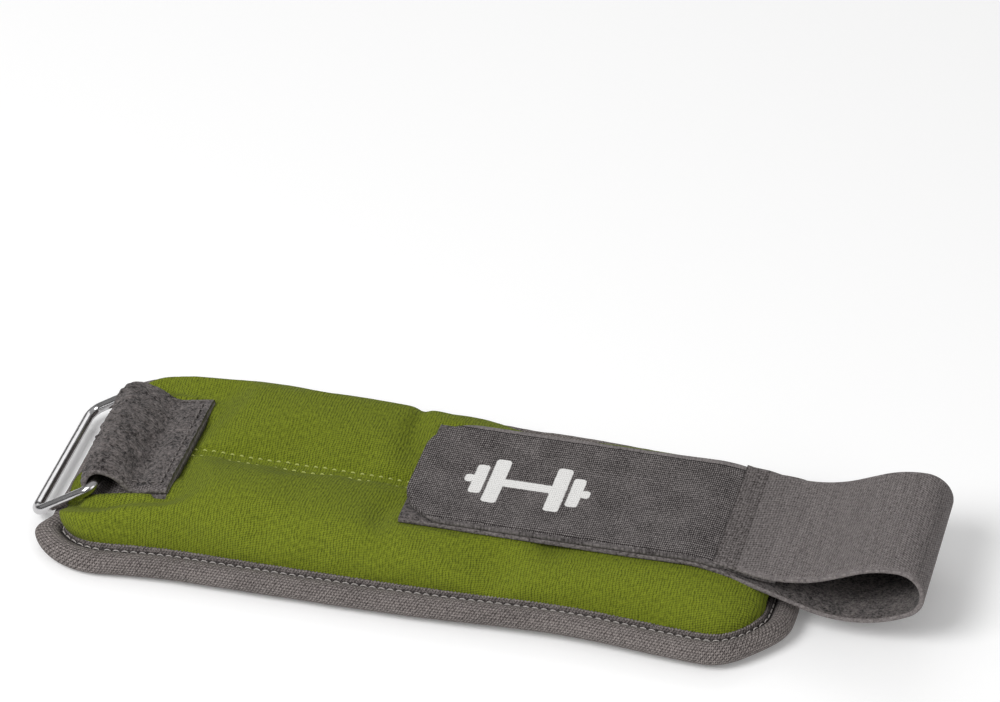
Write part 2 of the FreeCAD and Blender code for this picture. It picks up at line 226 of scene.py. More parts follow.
def hang(name, sheet, materials, stands_for=None, zones=ZONES, bodies=None):
    """Cuts a whole sheet at the bend zones. A piece on one body rides on it; a piece across a hinge stays
    where it is made.

    stands_for gives the CAD node that is replaced on a body. bodies renames the zones' bodies, for the strap
    on top.
    """
    low = sheet.verts[sheet.faces][:, :, 0].min(1)
    high = sheet.verts[sheet.faces][:, :, 0].max(1)
    slack = 1e-3
    for near, far, a, b in zones:
        first, last = min(near, far), max(near, far)
        keep = (high > first + slack) & (low < last - slack)
        if not keep.any():
            continue
        piece = sheet.part(keep).make(f"{name}_{b or a + '_end'}", materials)
        if low[keep].min() < first - slack:
            cut(piece, first, True)
        if high[keep].max() > last + slack:
            cut(piece, last, False)
        if bodies:
            a, b = bodies[a], bodies.get(b)
        if b:
            near * MM
            far * MM
            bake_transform(piece)
        else:
            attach(piece, a)
        if stands_for:
            nodes = dict.fromkeys(stands_for(body) for body in (a, b) if body)
            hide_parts(*[n for n in nodes if n in frame["nodes"]])


def hang_rigid(name, sheet, materials, body, node):
    piece = sheet.make(name, materials)
    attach(piece, body)
    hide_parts(node)


# ---- materials
def linear(rgb):
    """A colour given as 0 to 255 on screen, as the light values that shaders take."""
    return [((c / 255 + 0.055) / 1.055) ** 2.4 if c > 10 else c / 3294.6 for c in rgb] + [1.0]


class Value:
    """A shader's output that can be added, multiplied and so on, with numbers or with other Values."""

    def __init__(self, tree, socket):
        self.tree = tree
        self.socket = socket

    def math(self, operation, *values):
        node = self.tree.nodes.new("ShaderNodeMath")
        node.operation = operation
        for socket, value in zip(node.inputs, values):
            feed(self.tree, socket, value)
        return Value(self.tree, node.outputs[0])

    def __add__(self, other):
        return self.math("ADD", self, other)

    def __sub__(self, other):
        return self.math("SUBTRACT", self, other)

    def __rsub__(self, other):
        return self.math("SUBTRACT", other, self)

    def __mul__(self, other):
        return self.math("MULTIPLY", self, other)

    def __truediv__(self, number):
        return self * (1 / number)

    def __abs__(self):
        return self.math("ABSOLUTE", self)

    def least(self, other):
        return self.math("MINIMUM", self, other)

    def most(self, other):
        return self.math("MAXIMUM", self, other)

    def clamp(self):
        return self.most(0.0).least(1.0)

    __radd__ = __add__
    __rmul__ = __mul__


def feed(tree, socket, value):
    """Links a Value to a socket, or sets the socket to a number or a colour."""
    if isinstance(value, Value):
        tree.links.new(value.socket, socket)
    else:
        socket.default_value = value


class Look:
    """A material under construction."""

    def __init__(self, name):
        self.material = bpy.data.materials.new(name)
        self.material.use_nodes = True
        self.tree = self.material.node_tree
        self.tree.nodes.clear()
        self.surface = self.node("BsdfPrincipled")
        self.feed(self.node("OutputMaterial").inputs[0], self.output(self.surface))

    def node(self, kind):
        return self.tree.nodes.new("ShaderNode" + kind)

    def output(self, node, index=0):
        return Value(self.tree, node.outputs[index])

    def feed(self, socket, value):
        feed(self.tree, socket, value)

    def wave(self, phase):
        """A sine between -1 and 1, once for each whole step of phase."""
        return phase.math("SINE", phase * (2 * math.pi))

    def step(self, value, low, high):
        """0 below low, 1 above high, smooth between."""
        node = self.node("MapRange")
        node.interpolation_type = "SMOOTHSTEP"
        for index, number in enumerate((value, low, high, 0.0, 1.0)):
            self.feed(node.inputs[index], number)
        return self.output(node)

    def split(self, place):
        node = self.node("SeparateXYZ")
        self.feed(node.inputs[0], place)
        return self.output(node, 0), self.output(node, 1)

    def uv(self):
        node = self.node("UVMap")
        node.uv_map = UV
        return self.split(self.output(node))

    def noise(self, u, v, detail=2.0, rough=0.5):
        """Noise centred on 0 over u and v, one feature to each unit."""
        join = self.node("CombineXYZ")
        self.feed(join.inputs[0], u)
        self.feed(join.inputs[1], v)
        node = self.node("TexNoise")
        names = ("Vector", "Scale", "Detail", "Roughness")
        for name, value in zip(names, (self.output(join), 1.0, detail, rough)):
            self.feed(node.inputs[name], value)
        return self.output(node) - 0.5

    def blend(self, share, low, high):
        """Colour low at share 0, high at share 1. Each is a screen colour or a Value."""
        node = self.node("Mix")
        node.data_type = "RGBA"
        self.feed(node.inputs[0], share)
        for index, colour in ((6, low), (7, high)):
            self.feed(node.inputs[index], linear(colour) if isinstance(colour, tuple) else colour)
        return self.output(node, 2)

    def finish(self, colour, height=None, depth_mm=0.2, roughness=0.9, sheen=0.0, specular=0.25):
        names = ("Base Color", "Roughness", "Specular IOR Level", "Sheen Weight", "Sheen Roughness")
        for name, value in zip(names, (colour, roughness, specular, sheen, 0.5)):
            self.feed(self.surface.inputs[name], value)
        if height is not None:
            bump = self.node("Bump")
            for name, value in (("Distance", depth_mm * MM), ("Strength", 1.0), ("Height", height)):
                self.feed(bump.inputs[name], value)
            self.feed(self.surface.inputs["Normal"], self.output(bump))
        return self.material


def neoprene_look(name, light, dark):
    """Stretch jersey over neoprene: fine broken ribs across the cuff with dark pits, and a mottled face."""
    look = Look(name)
    u, v = look.uv()
    drift = look.noise(u * 0.25, v * 0.25)
    ribs = look.wave(u / 0.86 + drift * 1.6)
    loops = look.wave(v / 0.75 + u * 0.58 + drift * 1.2)
    flecks = look.noise(u * 1.5, v * 0.7, 3.0, 0.65)
    pits = look.step(ribs * loops, 0.1, 0.9)
    broad = look.noise(u * 0.055, v * 0.055)
    soft = 0.75 + broad * 1.6
    knit = ribs * soft * 0.36 + flecks * 2.5 - pits * soft * 0.95
    colour = look.blend((0.72 + knit * 0.7 + broad * 0.45).clamp(), dark, light)
    return look.finish(colour, knit, 0.2, 0.9 + flecks * 0.2, sheen=0.03, specular=0.1)


def binding_look():
    """Knitted tape: slanting rows of small holes, lighter on the loops that stand proud, with painted shade
    along the stitch crease and beside the top lip.
    """
    look = Look("binding_knit")
    u, v = look.uv()
    a = u + look.noise(u * 0.3, v * 0.3) * 0.7
    b = v / 1.7
    rows = look.wave(a + b)
    holes = look.step(rows * look.wave(a - b), 0.15, 0.8)
    flecks = look.noise(u, v, 3.0, 0.7)
    broad = look.noise(u * 0.06, v * 0.1)
    loops = 0.55 + rows * 0.3 + flecks * 2.4 + broad * 0.5
    tint = look.blend(loops.clamp(), (74, 68, 66), (152, 144, 141))
    knit = look.blend(holes * 0.85, tint, (40, 36, 35))
    # Painted shade: the colour darkens along the stitch crease between the tube and the flange.
    crease_shade = 1.0 - look.step(abs(v - CREASE_V), 0.2, 2.0)
    # Painted shade: a dark line beside the top lip, where the binding meets the green cover.
    lip = 1.0 - look.step(v, 0.8, 2.6)
    # The painted shade of the crease and of the lip pulls the colour towards (30, 27, 26).
    colour = look.blend(crease_shade * 0.75 + lip * 0.6, knit, (30, 27, 26))
    height = rows * 0.4 - holes + flecks * 1.2
    return look.finish(colour, height, 0.24, 0.9 + flecks * 0.15, sheen=0.05, specular=0.15)


def pile_look(name, light, dark):
    """Loop pile: a nap of fine tangled loops, patchy where it has been pressed."""
    look = Look(name)
    u, v = look.uv()
    fine = look.noise(u * 1.15, v * 1.4, 4.0, 0.75)
    tufts = look.noise(u * 0.5, v * 0.5, 2.0, 0.6)
    broad = look.noise(u * 0.12, v * 0.12)
    shade = 0.42 + fine * 3.2 + tufts * 1.2 + broad * 0.8
    colour = look.blend(shade.clamp(), dark, light)
    height = fine * 1.3 + tufts * 1.1
    return look.finish(colour, height, 0.6, 0.94 + fine * 0.1, sheen=0.15, specular=0.08)


def selvedge(look, u, v, width):
    """(share inside the strap's woven edge band, its cross hatch, the groove beside it)."""
    past = abs(v) - (STRAP_HALF - width)
    band = look.step(past, -0.3, 0.3)
    hatch = look.wave(u / 1.05 + v * 0.12)
    return band, hatch, look.step(past, -1.0, -0.2) * (1.0 - band)


def print_mask(look, u, v):
    """1 inside the printed dumbbell: a bar with two plates at each end, all with soft inked edges."""
    centre_u, centre_v, corner, softness = 28.0, -1.5, 1.2, 0.18
    ragged = look.noise(u * 1.7, v * 1.7) * 0.55
    x, y = abs(u - centre_u), abs(v - centre_v)
    mask = None
    # Each part: its middle along the bar, half its length, half its width.
    for middle, half_x, half_y in ((0.0, 9.0, 1.9), (9.4, 2.3, 11.0), (14.7, 1.9, 7.2), (17.6, 1.4, 1.9)):
        dx = (abs(x - middle) + (corner - half_x)).most(0.0)
        dy = (y + (corner - half_y)).most(0.0)
        away = dx.math("SQRT", dx * dx + dy * dy)
        inside = 1.0 - look.step(away + ragged, corner - softness, corner + softness)
        mask = mask.most(inside) if mask else inside
    return mask


def hook_tape_look():
    """Woven back of hook tape: a speckled twill between hatched edge bands, with a white print."""
    look = Look("hook_tape_weave")
    u, v = look.uv()
    drift = look.noise(u * 0.2, v * 0.2)
    a = u / 1.18 + drift * 0.9
    b = v / 1.9 + drift * 0.6
    twill = look.wave(a + b) * look.wave(a - b)
    flecks = look.noise(u, v * 0.9, 3.0, 0.75)
    broad = look.noise(u * 0.09, v * 0.09)
    band, hatch, groove = selvedge(look, u, v, 1.1 + look.step(v, 0.0, 1.0) * 1.3)
    bright = look.step(twill + flecks * 1.6, 0.4, 0.95)
    body = twill * 0.55 + bright * 0.9 + flecks * 1.5 - 0.2
    edge = hatch * 0.06 + flecks * 1.4 + look.step(v, -1.0, 1.0) * 0.3 - 0.25
    weave = body * (1.0 - band) + edge * band
    # Painted shade: the colour is darkened in the groove beside each edge band, which the bump also lowers.
    shade = 0.4 + weave * 0.75 + broad * 0.5 - groove * 0.25
    cloth = look.blend(shade.clamp(), (36, 32, 32), (172, 165, 164))
    ink = print_mask(look, u, v)
    worn = 0.97 + flecks * 0.22 + twill * 0.03
    colour = look.blend(ink * worn.least(1.0), cloth, (236, 235, 233))
    height = weave * (1.0 - ink * 0.55) - groove * 0.7
    return look.finish(colour, height, 0.24, 0.82 + flecks * 0.2 - ink * 0.2, sheen=0.03, specular=0.15)


def webbing_look():
    """Plain woven face of the strap: fine cross lines, lighter edges and a pressed band at its sewn end."""
    look = Look("webbing_weave")
    u, v = look.uv()
    cross = look.wave(u / 0.82 + look.noise(u * 0.15, v * 0.3) * 0.8)
    along = look.wave(v / 0.95 + u * 0.6)
    flecks = look.noise(u, v * 0.9, 3.0, 0.75)
    lines = look.noise(u * 0.5, v * 0.05)
    band, hatch, _ = selvedge(look, u, v, 1.3)
    plain = 1.0 - band * 0.8
    weave = cross * plain * 0.2 + cross * along * plain * 0.5 + flecks * 2.4
    sewn = 1.0 - look.step(u, WEBBING_END + 6.6, WEBBING_END + 7.6)
    groove = sewn * look.step(u, WEBBING_END + 5.2, WEBBING_END + 6.6)
    lumps = look.noise(u * 1.1, v, 2.0, 0.6) * sewn
    # Painted shade: the colour is darkened in the groove at the edge of the sewn band, which the bump also
    # lowers.
    shade = 0.42 + weave * 0.55 + lines * 0.25 + band * 0.03 - groove * 0.1 + lumps * 0.9 - sewn * 0.12
    colour = look.blend(shade.clamp(), (50, 45, 44), (160, 153, 152))
    height = weave + hatch * band * 0.08 + lumps * 1.3 - groove * 0.4
    return look.finish(colour, height, 0.17, 0.85 + flecks * 0.2, sheen=0.03, specular=0.15)


def thread_look(name, light, dark):
    """Twisted sewing thread."""
    look = Look(name)
    u, v = look.uv()
    twist = look.wave(u / 0.45 + v)
    colour = look.blend(0.55 + twist * 0.45, dark, light)
    return look.finish(colour, twist, 0.05, 0.5 + twist * 0.1, sheen=0.1, specular=0.45)


def steel_look():
    """Plated wire: bright, with faint drawn lines and rubbed patches."""
    look = Look("plated_wire")
    u, v = look.uv()
    drawn = look.noise(u * 0.12, v * 5.0, 3.0)
    rubbed = look.noise(u * 0.35, v * 0.5, 3.0, 0.6)
    colour = look.blend(0.6 + rubbed * 0.8, (150, 148, 149), (214, 213, 214))
    look.surface.inputs["Metallic"].default_value = 1.0
    return look.finish(colour, drawn, 0.012, 0.16 + rubbed * 0.22 + drawn * 0.08, specular=0.5)


def pouch_look():
    """Thin woven bag over iron sand."""
    look = Look("sand_pouch")
    place = look.node("TexCoord").outputs["Object"]
    x, y = [value / MM for value in look.split(Value(look.tree, place))]
    grain = look.noise(x, y, 3.0, 0.7)
    weave = look.wave(x / 1.2) * look.wave(y / 1.2)
    colour = look.blend(0.5 + grain * 1.2 + weave * 0.2, (26, 25, 25), (70, 68, 68))
    return look.finish(colour, grain + weave * 0.4, 0.3)


GREEN = neoprene_look("neoprene_jersey", (130, 142, 40), (62, 71, 17))
GREEN_INSIDE = neoprene_look("neoprene_jersey_inside", (126, 138, 39), (60, 69, 17))
BINDING = binding_look()
PILE = pile_look("loop_pile", (134, 126, 124), (26, 22, 22))
HOOK_TAPE = hook_tape_look()
WEBBING = webbing_look()
GREY_THREAD = thread_look("grey_thread", (214, 208, 204), (150, 143, 140))
DARK_THREAD = thread_look("dark_thread", (128, 121, 119), (78, 72, 71))
GREEN_THREAD = thread_look("green_thread", (206, 212, 120), (150, 160, 70))
STEEL = steel_look()
POUCH = pouch_look()


# ---- how the filled cuff pulls its own edge in and up
def drawn_in(points):
    """Points of the flat pattern moved to where the fill pulls them: the edges bow in and lift a little."""
    p = np.array(points, float)
    x, y = p[..., 0].copy(), p[..., 1].copy()
    left = ease(x, -104, -66)
    swell = bell(x, 48, 34)
    right = 1 - ease(x, 84, 108)
    bow = left * (1.7 + 1.7 * swell) * (0.2 + 0.8 * right)
    far = ease(y, 10, 45)
    near = ease(-y, 15, 46)
    rise = left * (1.3 + 0.9 * swell) * right * (1 - 0.8 * far * ease(x, 40, 75))
    share = np.abs(y) / HALF_WIDTH
    p[..., 1] -= np.sign(y) * bow * share**2 + 1.2 * ease(x, 45, 90) * (1 - ease(x, 95, 112))
    p[..., 1] -= far * share**10 * (1.6 * ease(x, -12, 25) + 2.4 * ease(x, 55, 88))
    p[..., 2] += rise * ease(np.abs(y), 30, 47)
    # The near corner under the strap curls in and up; the one by the ring is pushed out by the fill.
    curled = ease(x, 84, 112) * near
    p[..., 0] -= 2.5 * curled
    p[..., 1] += 3.0 * curled
    p[..., 2] += 1.4 * curled
    p[..., 0] -= 1.7 * ease(-x, 90, 112) * ease(-y, 29, 37)
    # Both ends are pulled in between their corners, by the ring and by the strap.
    p[..., 0] += 3.4 * ease(-x, 92, 108) * (1 - ease(np.abs(y), 28, 37))
    p[..., 0] -= 2.2 * ease(x, 80, 112) * bell(y, 0, 26)
    return p


# ---- covers
def half_width(x, inset):
    """Half the cuff's width at x, drawn in from its edge by inset."""
    corner = CORNER_RADIUS - inset
    into = np.clip(np.abs(x) - (HALF_LENGTH - CORNER_RADIUS), 0, corner)
    return HALF_WIDTH - CORNER_RADIUS + np.sqrt(corner**2 - into**2)


def fullness(x):
    """1 along the even part of the filled channels, falling bluntly to 0 at the cuff's ends."""
    even = EVEN_HALF + 10 * ease(-np.asarray(x, float), 0, 60)
    over = np.clip((np.abs(x) - even) / (EVEN_HALF + TAPER - even), 0, 0.999)
    return (1 - over**2.7) ** (1 / 2.7)


def cover_columns():
    """Stations along x, fine enough for the simulation, with one at every cut."""
    step = (ZONE_ENDS[1] - ZONE_ENDS[0]) / 10
    inner = np.arange(-LAST_CUT, LAST_CUT + step / 2, step)
    reach = HALF_LENGTH - GREEN_INSET - LAST_CUT
    outer = LAST_CUT + reach * np.sin(np.linspace(0, math.pi / 2, 11)[1:])
    return np.concatenate([-outer[::-1], inner, outer])


def crest_height(x):
    """Top of the filled channels: fuller on the free half, pressed down under the strap."""
    return CREST + 0.3 + 2.3 * bell(x, -50, 30) - 1.0 * ease(x, 0, 40)


def cover_shape(columns):
    """Resting shape of the outer cover as an array (columns, rows, 3), from the near edge to the far one."""
    steep = math.radians(84)
    inner = np.linspace(steep, 0, 11)[:-1]
    outer = np.linspace(math.pi / 2, 0, 14)
    low = math.cos(steep)
    shape = []
    for x in columns:
        blunt = 0.8 + 0.25 * float(ease(x, 0, 30))
        full = float(fullness(x))
        edge = float(half_width(x, GREEN_INSET))
        crest_y = SEAM_HALF + (edge - SEAM_HALF) * 0.5
        crest_z = EDGE_Z + (float(crest_height(x)) - EDGE_Z) * full
        seam_z = EDGE_Z + (SEAM_Z - EDGE_Z) * full**1.2
        rows = [(0.0, seam_z - 0.3), (SEAM_HALF * 0.6, seam_z - 0.1)]
        for angle in inner:
            y = crest_y - (crest_y - SEAM_HALF) * math.sin(angle) / math.sin(steep)
            rows.append((y, seam_z + (crest_z - seam_z) * (math.cos(angle) - low) / (1 - low)))
        for angle in outer:
            y = crest_y + (edge - crest_y) * max(math.cos(angle), 0) ** blunt
            rows.append((y, EDGE_Z + (crest_z - EDGE_Z) * max(math.sin(angle), 0) ** blunt))
        near = [(x, -y, z) for y, z in rows[:0:-1]]
        shape.append(near + [(x, y, z) for y, z in rows])
    return np.array(shape)


def tab_droop(x, y):
    """How far the ends of the ring tab's roll hang down beside the fill."""
    ends = 1.5 * ease(-y, 4, STRAP_HALF) + 2.2 * ease(y, -8, STRAP_HALF)
    return -ends * ease(-x, 85, 95)


def tab_line(x):
    """Height of the tab's sewn layer along its middle surface."""
    return TAB_START[1] + (x - TAB_START[0]) * math.tan(math.radians(TAB_SLOPE))


def ceiling(verts):
    """The height that the cover is held down to by the strap and the ring tab."""
    x, y = verts[..., 0], verts[..., 1]
    beside = np.clip(np.abs(y) - STRAP_HALF - 0.2, 0, None)
    before = np.clip(STRAP_START - 0.4 - x, 0, None)
    level = STRAP_Z - STRAP_THICKNESS / 2 - 0.2 + strap_sag(x, np.clip(y, -STRAP_HALF, STRAP_HALF))
    strap = level + 0.9 * beside + 0.8 * before + 100.0 * (x > LAST_CUT + 2)
    past = np.clip(x - TAB_END - 0.3, 0, None)
    level = tab_line(x) + tab_droop(x, np.clip(y, -STRAP_HALF, STRAP_HALF))
    tab = level - STRAP_THICKNESS / 2 - 0.35 + 0.5 * np.hypot(beside, past)
    return np.minimum(strap, tab)


def soft_least(a, b, width):
    """The lesser of a and b, with the corner between them rounded off below both."""
    gap = np.abs(a - b)
    return np.minimum(a, b) - width * np.log1p(np.exp(-gap / width))


def simulate(shape):
    """Blows the cover up over its fill as cloth, held along its edge and centre seam."""
    middle = shape.shape[1] // 2
    obj = grid_sheet(shape, shape[..., :2]).make("cover_cloth", [])
    held = np.zeros(shape.shape[:2], bool)
    held[:, [0, -1]] = True
    held[[0, -1], :] = True
    held[:, middle - 2 : middle + 3] = True
    group = obj.vertex_groups.new(name="held")
    group.add(np.nonzero(held.ravel())[0].tolist(), 1.0, "REPLACE")
    cloth = obj.modifiers.new("cloth", "CLOTH")
    settings = {
        "quality": 6,
        "mass": 0.15,
        "tension_stiffness": 22,
        "compression_stiffness": 22,
        "shear_stiffness": 9,
        "bending_stiffness": 4.0,
        "shrink_min": -0.012,
        "vertex_group_mass": "held",
        "use_pressure": True,
        "uniform_pressure_force": 2.4,
    }
    for name, value in settings.items():
        setattr(cloth.settings, name, value)
    cloth.settings.effector_weights.gravity = 0
    cloth.collision_settings.use_collision = False
    cloth.collision_settings.use_self_collision = False
    last_frame, most = 24, 1.8
    cloth.point_cache.frame_end = last_frame
    scene = bpy.context.scene
    for number in range(1, last_frame + 1):
        scene.frame_set(number)
    result = obj.evaluated_get(bpy.context.evaluated_depsgraph_get()).data
    moved = np.zeros(len(result.vertices) * 3)
    result.vertices.foreach_get("co", moved)
    bpy.data.objects.remove(obj)
    scene.frame_set(1)
    shift = moved.reshape(shape.shape) / MM - shape
    for _ in range(3):
        around = shift[2:, 1:-1] + shift[:-2, 1:-1] + shift[1:-1, 2:] + shift[1:-1, :-2]
        shift[1:-1, 1:-1] = 0.5 * shift[1:-1, 1:-1] + 0.125 * around
    size = np.linalg.norm(shift, axis=-1, keepdims=True)
    return shape + shift * np.minimum(1.0, most / np.maximum(size, 1e-9))


def refine(grid, axis):
    """Doubles a grid along one axis with a smooth curve through its points."""
    g = np.moveaxis(grid, axis, 0)
    padded = np.concatenate([2 * g[:1] - g[1:2], g, 2 * g[-1:] - g[-2:-1]])
    between = (9 * (padded[1:-2] + padded[2:-1]) - padded[:-3] - padded[3:]) / 16
    out = np.zeros((2 * len(g) - 1,) + g.shape[1:])
    out[::2] = g
    out[1::2] = between
    return np.moveaxis(out, 0, axis)


# Each dent: x, y, half sizes along x and y, depth.
DENTS = (
    (-11.5, 20.0, 5.0, 14.0, 1.7),
    (-10.5, -19.0, 3.5, 12.0, 1.0),
    (-9.0, -30.0, 4.0, 8.0, 0.7),
    (-37.0, -24.0, 5.0, 12.0, 0.55),
    (-54.0, 26.0, 7.0, 9.0, 0.45),
    (-82.0, -32.0, 2.4, 6.0, 0.9),
    (-89.0, -31.0, 2.4, 6.0, 0.8),
    (-13.5, 31.0, 2.0, 10.0, 1.5),
    (30.0, -35.0, 8.0, 5.0, 0.5),
)


def cover_wrinkles(grid):
    """Sand lumps, puckers at the seams and a few dents, as a height to add at each point."""
    flat = grid.reshape(-1, 3)
    x, y = flat[:, 0], flat[:, 1]
    lumps = 0.45 * wobble(flat * (1, 1, 0), 0.045, 3.0) + 0.12 * wobble(flat * (1, 1, 0), 0.12, 8.0)
    along = np.stack([x, np.sign(y) * 40, 0 * x], 1)
    from_seam = np.clip(np.abs(y) - SEAM_HALF, 0, None)
    from_edge = np.clip(half_width(x, GREEN_INSET + 1.4) - np.abs(y), 0, None)
    seam = 0.5 * wobble(along, 0.14, 21.0) * np.exp(-from_seam / 6) * (1 - np.exp(-from_seam / 1.2))
    seam += 0.25 * wobble(along, 0.42, 5.0) * np.exp(-from_seam / 2.2)
    edge = 0.3 * wobble(along, 0.11, 33.0) * np.exp(-from_edge / 6) * (1 - np.exp(-from_edge / 1.5))
    edge += 0.16 * wobble(along, 0.36, 13.0) * np.exp(-from_edge / 2.5) * (1 - np.exp(-from_edge / 0.8))
    height = lumps * (1 - np.exp(-from_edge / 5)) + seam + edge
    for dent_x, dent_y, half_x, half_y, depth in DENTS:
        height -= depth * bell(x, dent_x, half_x) * bell(y, dent_y, half_y)
    full = np.asarray(fullness(x))
    return (height * np.clip(full * 1.4, 0, 1)).reshape(grid.shape[:2])


def arc_lengths(grid):
    """Distance along each column from its middle row, for a weave that isn't stretched on the slopes."""
    steps = np.linalg.norm(np.diff(grid, axis=1), axis=-1)
    total = np.concatenate([np.zeros((len(grid), 1)), np.cumsum(steps, axis=1)], 1)
    return total - total[:, grid.shape[1] // 2][:, None]


def fill_top(verts):
    """Height of the iron-sand pouches under the cover, let down at its ends so that it still closes there."""
    x, y = verts[..., 0], verts[..., 1]
    high = box_mm("sand_pouches_centre")[1]
    radius = high[1] - CHANNEL_Y
    across = np.clip(np.abs(np.abs(y) - CHANNEL_Y), 0, radius)
    over = np.clip((np.abs(x) - HALF_LENGTH + FILL_TAPER) / FILL_TAPER, 0, 1)
    ends = np.minimum(1, 1.6 * fullness(x) ** 2)
    return (high[2] - radius + np.sqrt(radius**2 - across**2)) * np.sqrt(1 - over**2) * ends


def build_front():
    shape = cover_shape(cover_columns())
    shape = simulate(shape)
    shape = refine(refine(shape, 0), 1)
    x, y, z = np.moveaxis(shape, -1, 0)
    z += cover_wrinkles(shape)
    z -= 1.5 * ease(-x, 62, 100) * ease(y, 4, 24)
    uvs = np.stack([x, arc_lengths(shape)], -1)
    share = np.clip((z - EDGE_Z) / 9, 0, 1) * ease(-x, 76, 102)
    shape = drawn_in(shape)
    # The fill pushes the left end out, most of all near the viewer and where it shows through the ring.
    x, y, z = np.moveaxis(shape, -1, 0)
    through = bell(y, -13, 9)
    x -= share * (1.8 + 3.4 * ease(-y, -8, 24) + 3.8 * through)
    y -= 1.6 * share * ease(-y, 8, 30)
    # The strap and the tab press it down; clear of the tab it stays above the pouches.
    z[:] = soft_least(z, ceiling(shape), 0.35)
    clear = (x > TAB_END) | (np.abs(y) > STRAP_HALF + 0.3)
    z[:] = np.where(clear, np.maximum(z, fill_top(shape) + 0.15), z)
    sheet = grid_sheet(shape, uvs, flip=True)
    hang("front_cover", sheet, [GREEN], "front_panel_{}".format)
    return shape


def build_back():
    """Inner cover: nearly flat on the leg side, drawn up at the edge and along the seam."""
    columns = refine(cover_columns()[:, None], 0)[:, 0]
    share = np.sin(np.linspace(-math.pi / 2, math.pi / 2, 65))
    x = np.repeat(columns[:, None], len(share), 1)
    y = share[None, :] * half_width(columns, GREEN_INSET)[:, None]
    from_edge = np.minimum(half_width(x, GREEN_INSET) - np.abs(y), HALF_LENGTH - GREEN_INSET - np.abs(x))
    points = np.stack([x, y, 0 * x], -1).reshape(-1, 3)
    rumple = wobble(points, 0.08, 50.0).reshape(x.shape)
    z = 0.35 + 0.18 * rumple
    z += 1.3 * np.exp(-np.clip(from_edge, 0, None) / 2.2)
    z += 1.5 * bell(y, 0, 1.6) * np.clip(fullness(x) * 2, 0, 1)
    flat = np.stack([x, y, z], -1)
    sheet = grid_sheet(drawn_in(flat), flat[..., :2])
    hang("back_cover", sheet, [GREEN_INSIDE], "back_panel_{}".format)


# ---- binding
def outline_stations():
    """Points once round the cuff's edge: (corner centre or side point, outward direction), in mm."""
    flat_x, flat_y = HALF_LENGTH - CORNER_RADIUS, HALF_WIDTH - CORNER_RADIUS
    step = (ZONE_ENDS[1] - ZONE_ENDS[0]) / 40
    inner = np.arange(-LAST_CUT, LAST_CUT + step / 2, step)
    extra = np.linspace(LAST_CUT, flat_x, 7)[1:]
    along_x = np.concatenate([-extra[::-1], inner, extra])
    along_y = np.linspace(-flat_y, flat_y, 96)
    angles = np.radians(np.linspace(0, 90, 66)[1:-1])
    stations = []
    sides = (
        ([(x, -flat_y) for x in along_x], -90),
        ([(flat_x, y) for y in along_y], 0),
        ([(-x, flat_y) for x in along_x], 90),
        ([(-flat_x, -y) for y in along_y], 180),
    )
    for points, facing in sides:
        turn = math.radians(facing)
        stations += [(p, turn) for p in points]
        stations += [(points[-1], turn + a) for a in angles]
    return stations


def outline_point(station, inset):
    (x, y), turn = station
    reach = CORNER_RADIUS - inset
    return x + reach * math.cos(turn), y + reach * math.sin(turn)


def binding_profile():
    """(inset, height, share of the stitch pucker) round the folded binding, from top lip to bottom lip."""
    radius = BINDING_HEIGHT / 2
    half = (STITCH_INSET - 0.2) / 2
    top = [(8.0, 4.4, 0.0), (8.6, 5.0, 0.0), (9.1, 5.7, 0.0), (9.3, 6.3, 0.0), (9.1, 6.8, 0.0)]
    top += [(8.6, 6.95, 0.1), (8.2, 6.7, 0.2), (7.85, 6.1, 0.5), (7.6, 5.5, 0.8), (STITCH_INSET, 5.1, 1.0)]
    for angle in np.linspace(22, 180, 20):
        a = math.radians(angle)
        pucker = max(0.0, 1 - (angle - 22) / 45)
        top.append((half + half * math.cos(a), radius + radius * math.sin(a), pucker))
    under = [(inset, 2 * radius - z, pucker) for inset, z, pucker in top[-2:7:-1]]
    under += [(8.0, 1.5, 0.4), (8.8, 1.1, 0.1), (9.2, 1.2, 0.0), (9.0, 1.8, 0.0)]
    return top + [(inset, max(z, 0.02), pucker) for inset, z, pucker in under]


